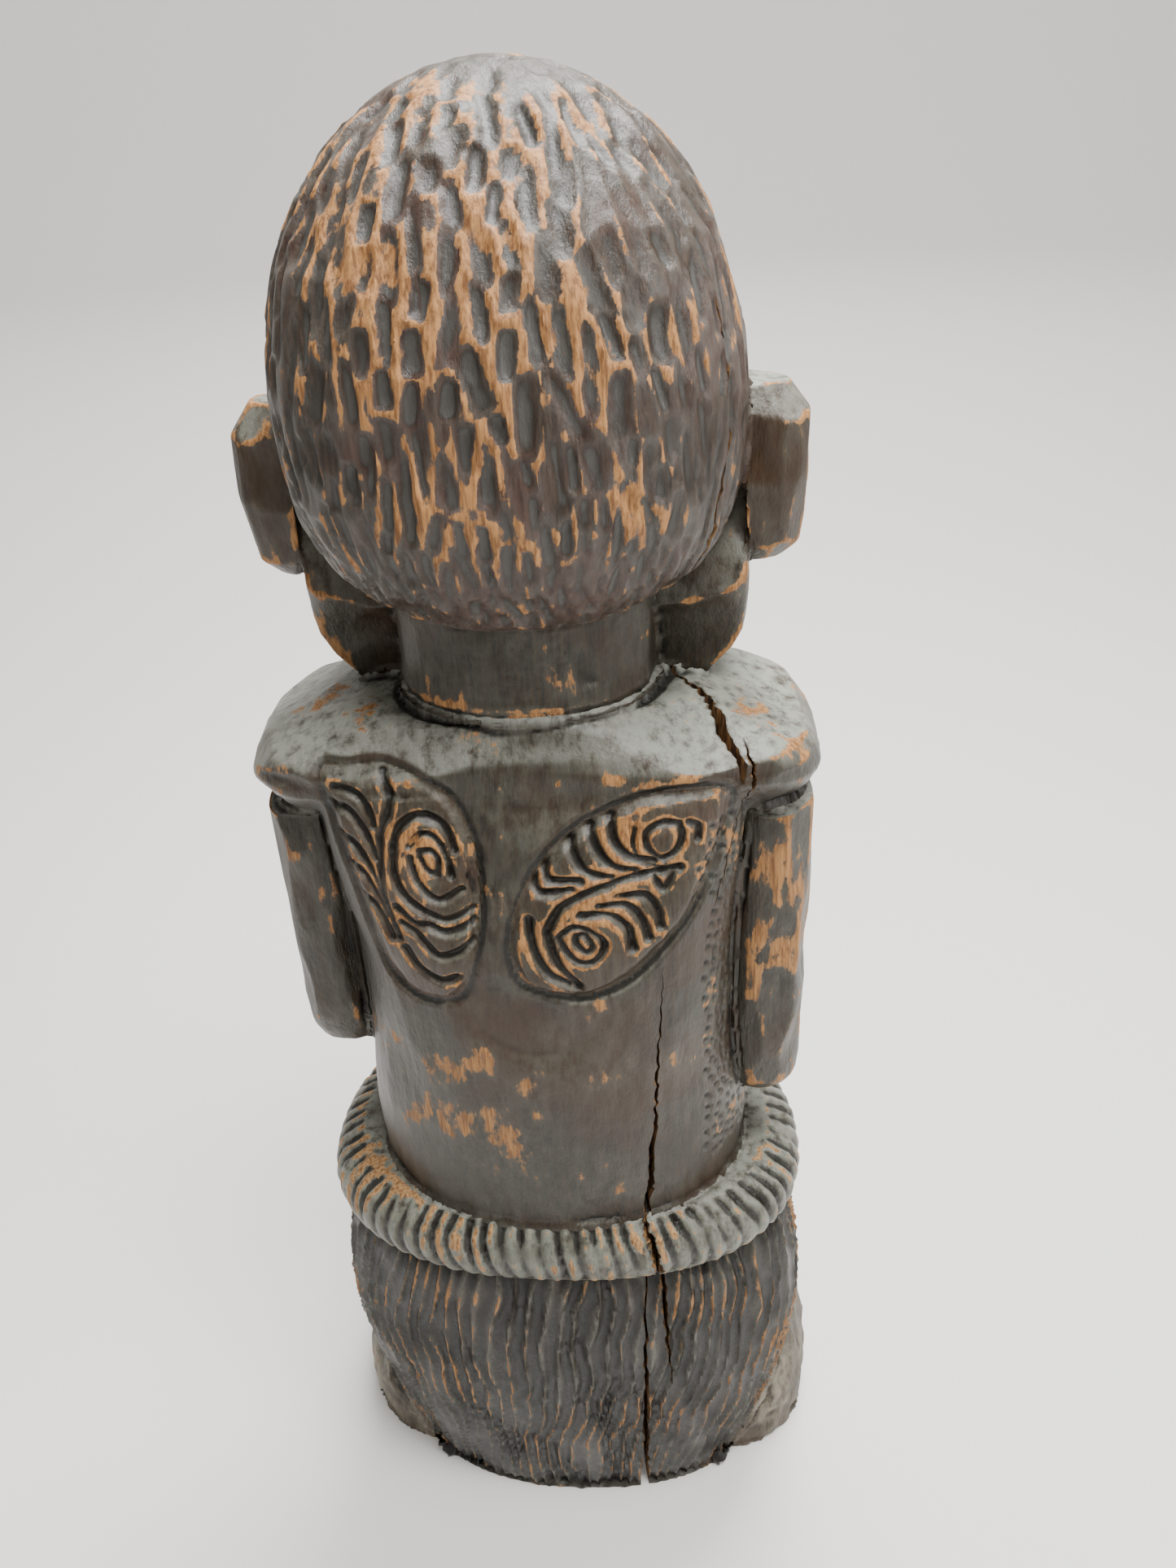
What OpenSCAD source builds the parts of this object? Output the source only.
// Standing figure carved from one log: gouged hair cap, block ears, relief panels on the back, bent arms,
// ribbed waist roll and a grass skirt with the legs showing at its sides and front.
// The figure looks along -Y and stands on Z = 0, so its own left side is +X. Sizes are in millimetres.
// Every node is one carved region of the log, and neighbours meet face to face along the carver's stop cuts.
// Section tables are drawn for the nominal sizes below, and each region is scaled to its own width.

/* [Log] */
// Height of the figure from the underside to the crown
figure_h = 600; // [480:10:760]
// Width over the legs, the widest place of the log
log_w = 230; // [188:2:276]

/* [Head] */
// Width of the hair cap at its widest
head_w = 138; // [114:1:160]
// Width over the two ears
ear_span = 178; // [156:1:210]
// Width of the neck
neck_w = 85; // [64:1:104]
// Tilt of the hairline away from the vertical, in degrees
hairline_tilt = 23; // [14:1:30]

/* [Trunk] */
// Width over the shoulder yoke
shoulder_w = 192; // [176:1:224]
// Width of the trunk at the waist
waist_w = 152; // [126:1:168]
// Height that the back panels stand proud of the back
relief = 2; // [1:0.5:4]

/* [Arms] */
// Thickness of an upper arm from front to back
arm_depth = 46; // [36:1:56]
// Height of the left elbow's underside above the ground
left_elbow_z = 272; // [255:1:280]
// Height of the right elbow's underside above the ground
right_elbow_z = 248; // [240:1:275]

/* [Skirt] */
// Width of the waist roll
roll_w = 200; // [166:1:240]
// Width of the skirt at its fullest
skirt_w = 208; // [190:1:220]
// Height of the skirt's hem over the feet
hem_z = 92; // [70:1:110]

/* [Hidden] */

// Ratios of the chosen sizes to the nominal ones that the section tables are drawn for
height_k = figure_h / 600;
head_k = head_w / 138;
ear_k = ear_span / 178;
neck_k = neck_w / 88;
shoulder_k = shoulder_w / 198;
waist_k = waist_w / 152;
roll_k = roll_w / 200;
skirt_k = skirt_w / 208;
leg_k = log_w / 220;

// Heights of the stop cuts between the regions
roll_bottom = up(183);
trunk_bottom = up(212);
trunk_top = up(404);
tip_bottom = up(384);
cap_bottom = up(458);
hem_top = up(hem_z);

// The arms hang under the tips of the yoke, and their inner sides run into the trunk
arm_outer = 99 * shoulder_k;
arm_inner = 64 * waist_k;
arm_middle = (arm_outer + arm_inner) / 2;
arm_reach = (arm_outer - arm_inner) / 2;

// How far the toes reach forward and the waist roll reaches back, and the shift that centres the two
toe_reach = 106 * leg_k;
roll_reach = 65 * roll_k;
centre_shift = (toe_reach - roll_reach) / 2;

stain = "#4a3f36";
dark_stain = "#35302c";
worn_wood = "#8a6238";
grey_wood = "#6f675c";
big = 400;

// Heights are drawn for a 600 mm figure
function up(z) = z * height_k;

// A section row is [height, half width, front depth, back depth, squareness, x of centre, y of centre]
function scaled(rows, k) =
  [for (q = rows) [up(q[0]), q[1] * k, q[2] * k, q[3] * k, q[4], q[5] * k, q[6] * k]];

// The outline of one section, whose front and back halves may differ in depth
function ring(row, sides) =
  [for (i = [0 : sides - 1])
    let (c = cos(360 * i / sides), s = sin(360 * i / sides), power = 2 / row[4])
    [row[5] + row[1] * sign(c) * pow(abs(c), power),
     row[6] + (s > 0 ? row[3] : row[2]) * sign(s) * pow(abs(s), power),
     row[0]]];

// A smooth curve through four neighbouring rows, at the share t between the middle two
function between(a, b, c, d, t) =
  0.5 * (2 * b + (c - a) * t + (2 * a - 5 * b + 4 * c - d) * t * t + (3 * b - a - 3 * c + d) * t * t * t);

function smoothed(rows, steps) =
  [for (i = [0 : len(rows) - 2], j = [0 : steps - 1])
     between(rows[max(i - 1, 0)], rows[i], rows[i + 1], rows[min(i + 2, len(rows) - 1)], j / steps),
   rows[len(rows) - 1]];

// A solid through all the section rows, from the lowest to the highest
module loft(rows, sides = 48, steps = 2) {
  stack = smoothed(rows, steps);
  last = len(stack) - 1;
  polyhedron(
    points = [for (row = stack) each ring(row, sides)],
    faces = [
      [for (i = [0 : sides - 1]) i],
      for (j = [0 : last - 1], i = [0 : sides - 1])
        [j * sides + i, (j + 1) * sides + i, j * sides + (i + 1) % sides],
      for (j = [0 : last - 1], i = [0 : sides - 1])
        [j * sides + (i + 1) % sides, (j + 1) * sides + i, (j + 1) * sides + (i + 1) % sides],
      [for (i = [sides - 1 : -1 : 0]) last * sides + i]
    ]
  );
}

// Shapes that several regions share ---------------------------------------------------------------

module head_form() {
  loft(scaled([
    [458, 45, 39, 43, 2.0, 0, 0],
    [464, 54, 47, 49, 2.1, 0, 0],
    [476, 63, 55, 56, 2.2, 0, 0],
    [496, 68.5, 60, 61, 2.3, 0, 0],
    [520, 69, 62, 62, 2.3, 0, 0],
    [543, 65.5, 60, 59, 2.3, 0, 0],
    [563, 58, 53, 52, 2.2, 0, 0],
    [580, 46, 42, 41, 2.1, 0, 0],
    [591, 32, 30, 29, 2.0, 0, 0],
    [598, 16, 15, 15, 2.0, 0, 0],
    [600, 3, 3, 3, 2.0, 0, 0]
  ], head_k));
}

module face_form() {
  loft(scaled([
    [409, 30, 62, 2, 2.6, 0, 0],
    [417, 49, 69, 3, 2.6, 0, 0],
    [432, 66, 72, 4, 2.7, 0, 0],
    [447, 71, 72, 8, 2.8, 0, 0],
    [470, 70, 69, 24, 2.7, 0, 0],
    [500, 67, 66, 24, 2.6, 0, 0],
    [530, 65, 67, 20, 2.5, 0, 0],
    [556, 58, 61, 0, 2.3, 0, 0],
    [575, 46, 50, -10, 2.2, 0, 0],
    [588, 28, 36, -16, 2.0, 0, 0]
  ], head_k));
}

// Everything in front of the hairline plane, which leans forward as it rises
module face_side() {
  translate([0, 8 * head_k, cap_bottom])
    rotate([hairline_tilt, 0, 0])
      translate([-big, -2 * big, -big])
        cube([2 * big, 2 * big, 2 * big]);
}

module yoke_form() {
  loft(scaled([
    [384, 95, 38, 31, 3.2, 0, 0],
    [392, 99, 44, 38, 3.6, 0, 0],
    [402, 99, 50, 47, 3.9, 0, 0],
    [411, 93, 50, 48, 3.6, 0, 0],
    [420, 74, 45, 43, 2.7, 0, 0],
    [427, 50, 40, 40, 2.2, 0, 0]
  ], shoulder_k));
}

// The trunk, with the back standing proud by the given height
module trunk_form(proud = 0) {
  loft(scaled([
    [212, 75, 62, 57 + proud, 2.2, 0, 0],
    [232, 76, 66, 59 + proud, 2.2, 0, 0],
    [262, 75, 68, 61 + proud, 2.3, 0, 0],
    [300, 71, 63, 61 + proud, 2.4, 0, 0],
    [340, 70, 55, 59 + proud, 2.8, 0, 0],
    [375, 72, 51, 54 + proud, 3.6, 0, 0],
    [404, 73, 49, 47 + proud, 4.4, 0, 0]
  ], waist_k));
}

module neck_form() {
  loft(scaled([
    [420, 46, 44, 42, 2.2, 0, 0],
    [430, 44, 43, 41, 2.2, 0, 0],
    [458, 44, 43, 41, 2.2, 0, 0]
  ], neck_k));
}

module arm_form(side, elbow_z) {
  half = arm_depth / 2;
  mirror([side < 0 ? 1 : 0, 0, 0])
    loft([
      [up(elbow_z), arm_reach * 0.45, half * 0.4, half * 0.4, 2.2, arm_middle - 1, 6],
      [up(elbow_z + 5), arm_reach * 0.85, half * 0.74, half * 0.7, 2.4, arm_middle, 5],
      [up(elbow_z + 20), arm_reach, half * 0.96, half * 0.92, 2.6, arm_middle, 5],
      [up(310), arm_reach, half, half, 2.6, arm_middle, 4],
      [up(350), arm_reach * 0.97, half, half, 2.6, arm_middle, 3],
      [tip_bottom, arm_reach * 0.94, half, half, 2.6, arm_middle, 2]
    ], sides = 32);
}

module skirt_form() {
  loft(scaled([
    [0, 86, 76, 45, 2.1, 0, 0],
    [20, 90, 78, 48, 2.1, 0, 0],
    [60, 98, 82, 54, 2.2, 0, 0],
    [110, 104, 83, 60, 2.3, 0, 0],
    [150, 102, 79, 61, 2.3, 0, 0],
    [183, 95, 71, 58, 2.3, 0, 0]
  ], skirt_k));
}

module roll_form() {
  loft(scaled([
    [183, 93, 68, 56, 2.3, 0, 0],
    [189, 98, 72, 63, 2.3, 0, 0],
    [200, 100, 74, 65, 2.3, 0, 0],
    [210, 96, 72, 63, 2.3, 0, 0],
    [217, 86, 66, 58, 2.2, 0, 0]
  ], roll_k));
}

// The opening under the hem, where the legs show: it is steep at the sides and level over the feet
module under_hem() {
  rotate([90, 0, 90])
    translate([0, 0, -big / 2])
      linear_extrude(height = big)
        polygon([
          [28 * skirt_k, -1], [25 * skirt_k, up(8)], [12 * skirt_k, up(46)], [-4 * skirt_k, hem_top - up(14)],
          [-24 * skirt_k, hem_top - up(3)], [-big, hem_top], [-big, -1]
        ]);
}

module leg_form(side) {
  mirror([side < 0 ? 1 : 0, 0, 0])
    loft(scaled([
      [0, 52, 52, 56, 2.7, 57, -34],
      [16, 53, 53, 57, 2.7, 57, -34],
      [42, 52, 52, 56, 2.6, 56, -33],
      [70, 46, 47, 50, 2.4, 53, -31],
      [96, 38, 40, 44, 2.2, 50, -29]
    ], leg_k), sides = 40);
}

// The regions, from the crown down -----------------------------------------------------------------

module hair_cap() {
  color(stain)
    difference() {
      head_form();
      face_side();
    }
}

module face() {
  color(stain)
    difference() {
      intersection() {
        face_form();
        face_side();
      }
      yoke_form();
    }
}

// A ridge over both eyes that dips to the root of the nose
module brow_form() {
  for (side = [-1, 1])
    hull() {
      translate([side * 4 * head_k, -66 * head_k, up(517)])
        sphere(r = 7 * head_k, $fn = 24);
      translate([side * 42 * head_k, -56 * head_k, up(524)])
        sphere(r = 6 * head_k, $fn = 24);
    }
}

module brow() {
  color(worn_wood)
    difference() {
      brow_form();
      face_form();
    }
}

module nose_form() {
  hull() {
    translate([0, -65 * head_k, up(517) - 10.5])
      sphere(r = 6 * head_k, $fn = 20);
    translate([0, -76 * head_k, up(478)])
      sphere(r = 9 * head_k, $fn = 24);
    for (side = [-1, 1])
      translate([side * 13 * head_k, -69 * head_k, up(475)])
        sphere(r = 6.5 * head_k, $fn = 20);
  }
}

module nose() {
  color(worn_wood)
    difference() {
      nose_form();
      face_form();
      brow_form();
    }
}

// An almond outline with its long axis along X
module almond(length, width) {
  reach = (length * length + width * width) / (4 * width);
  intersection_for(side = [-1, 1])
    translate([0, side * (reach - width / 2)])
      circle(r = reach, $fn = 64);
}

// A plate with an almond outline that stands on the face, its front at the given depth
module almond_plate(x, y, z, length, width) {
  translate([x, y, z])
    rotate([-90, 0, 0])
      linear_extrude(height = 30 * head_k)
        almond(length, width);
}

module eye(side) {
  color(stain)
    difference() {
      almond_plate(side * 29 * head_k, -70 * head_k, up(502), 34 * head_k, 17 * head_k);
      face_form();
      nose_form();
      brow_form();
      translate([side * 29 * head_k, -72 * head_k, up(502)])
        rotate([-90, 0, 0])
          cylinder(r = 4 * head_k, h = 3.2 * head_k, $fn = 32);
    }
}

// One lip: the half of the mouth's almond above or below the slit
module lip(way) {
  slit = 1.5 * head_k;
  color(worn_wood)
    difference() {
      almond_plate(0, -80 * head_k, up(447), 58 * head_k, 24 * head_k);
      face_form();
      nose_form();
      translate([-big / 2, -big / 2, up(447) + (way > 0 ? slit - big : -slit)])
        cube([big, big, big]);
    }
}

// One block ear. The right one sits a little higher than the left
module ear(side) {
  lift = side < 0 ? up(7) : up(5);
  color(stain)
    difference() {
      translate([0, 0, lift])
        mirror([side < 0 ? 1 : 0, 0, 0])
        loft(scaled([
          [454, 12, 10, 9, 2.6, 69, -10],
          [460, 17, 15, 13, 2.8, 70, -9],
          [480, 19, 18, 15, 3.0, 70, -8],
          [500, 18, 17, 14, 2.8, 70, -8],
          [509, 12, 10, 9, 2.6, 69, -8]
        ], ear_k), sides = 16, steps = 1);
      head_form();
      face_form();
      translate([side * 84 * ear_k, -13 * ear_k, up(482) + lift])
        rotate([0, side * 90, 0])
          cylinder(r = 9 * ear_k, h = 20 * ear_k, $fn = 32);
    }
}

module neck() {
  color(stain)
    difference() {
      neck_form();
      face_form();
      yoke_form();
    }
}

module shoulder_yoke() {
  color(stain)
    difference() {
      yoke_form();
      trunk_form();
    }
}

module trunk() {
  color(stain)
    trunk_form();
}

// A flat outline drawn on the back, carried straight through it
module through_back() {
  translate([0, big, 0])
    rotate([90, 0, 0])
      linear_extrude(height = big)
        children();
}

// A thin leaf that lies on the back: the first child is its outline, the second the grooves cut in it
module back_panel() {
  color(worn_wood)
    difference() {
      intersection() {
        trunk_form(relief);
        through_back()
          children(0);
      }
      trunk_form();
      yoke_form();
      difference() {
        through_back()
          children(1);
        trunk_form(relief / 2);
      }
    }
}

module leaf_disc(x, z, r) {
  translate([x * waist_k, up(z)])
    circle(r = r * waist_k, $fn = 32);
}

// The groove around an eye of the relief
module eye_groove(x, z, r) {
  difference() {
    leaf_disc(x, z, r);
    leaf_disc(x, z, r - 2);
  }
}

// The left leaf is short and round, with one eye in its middle
module left_back_panel() {
  back_panel() {
    hull() {
      leaf_disc(54, 400, 9);
      leaf_disc(30, 394, 14);
      leaf_disc(34, 343, 14);
    }
    eye_groove(29, 383, 7);
  }
}

// The right leaf is long and lies aslant, with two eyes
module right_back_panel() {
  back_panel() {
    hull() {
      leaf_disc(-56, 396, 7);
      leaf_disc(-38, 388, 14);
      leaf_disc(-13, 364, 19);
      leaf_disc(-13, 353, 19);
      leaf_disc(-40, 366, 12);
    }
    union() {
      eye_groove(-44, 390, 6);
      eye_groove(-18, 356, 7);
    }
  }
}

module upper_arm(side, elbow_z) {
  color(stain)
    difference() {
      arm_form(side, elbow_z);
      trunk_form();
      yoke_form();
    }
}

module forearm_form(side, elbow_z) {
  hull() {
    translate([side * arm_middle, -8, up(elbow_z + 17)])
      sphere(r = arm_reach * 0.8, $fn = 24);
    translate([side * 46 * waist_k, -64 * waist_k, up(278)])
      sphere(r = 10, $fn = 24);
  }
}

module forearm(side, elbow_z) {
  color(stain)
    difference() {
      forearm_form(side, elbow_z);
      arm_form(side, elbow_z);
      trunk_form();
    }
}

// A flat hand on the belly, its fingers parted by three cuts
module hand(side, elbow_z) {
  color(worn_wood)
    difference() {
      hull() {
        translate([side * 38 * waist_k, -69 * waist_k, up(278)])
          sphere(r = 10, $fn = 20);
        for (z = [263, 283])
          translate([side * 14 * waist_k, -70 * waist_k, up(z)])
            sphere(r = 6, $fn = 16);
      }
      forearm_form(side, elbow_z);
      trunk_form();
      for (z = [265.5, 272, 278.5])
        translate([side * 14 * waist_k - 14, -big - 72 * waist_k, up(z)])
          cube([28, big, 1.4]);
    }
}

module waist_roll() {
  color(grey_wood)
    difference() {
      roll_form();
      trunk_form();
    }
}

module skirt() {
  color(dark_stain)
    difference() {
      skirt_form();
      under_hem();
    }
}

module leg(side) {
  color(grey_wood)
    intersection() {
      leg_form(side);
      under_hem();
    }
}

// A short foot with five toes parted by four cuts
module foot(side) {
  toe = 13 * leg_k;
  color(grey_wood)
    difference() {
      mirror([side < 0 ? 1 : 0, 0, 0])
        loft(scaled([
          [0, 34, 31, 30, 3.0, 52, -75],
          [8, 34, 31, 30, 3.0, 52, -75],
          [17, 32, 27, 28, 2.8, 52, -74],
          [24, 25, 19, 24, 2.5, 52, -73]
        ], leg_k), sides = 32);
      leg_form(side);
      for (i = [-1.5 : 1 : 1.5])
        translate([side * 52 * leg_k + i * toe - 1, -big - 94 * leg_k, -1])
          cube([2, big, up(60)]);
    }
}

module placed() {
  translate([0, centre_shift, 0])
    children();
}

placed() hair_cap();
placed() face();
placed() brow();
placed() nose();
placed() eye(1);  // left_eye
placed() eye(-1);  // right_eye
placed() lip(1);  // upper_lip
placed() lip(-1);  // lower_lip
placed() ear(1);  // left_ear
placed() ear(-1);  // right_ear
placed() neck();
placed() shoulder_yoke();
placed() trunk();
placed() left_back_panel();
placed() right_back_panel();
placed() upper_arm(1, left_elbow_z);  // left_upper_arm
placed() upper_arm(-1, right_elbow_z);  // right_upper_arm
placed() forearm(1, left_elbow_z);  // left_forearm
placed() forearm(-1, right_elbow_z);  // right_forearm
placed() hand(1, left_elbow_z);  // left_hand
placed() hand(-1, right_elbow_z);  // right_hand
placed() waist_roll();
placed() skirt();
placed() leg(1);  // left_leg
placed() leg(-1);  // right_leg
placed() foot(1);  // left_foot
placed() foot(-1);  // right_foot
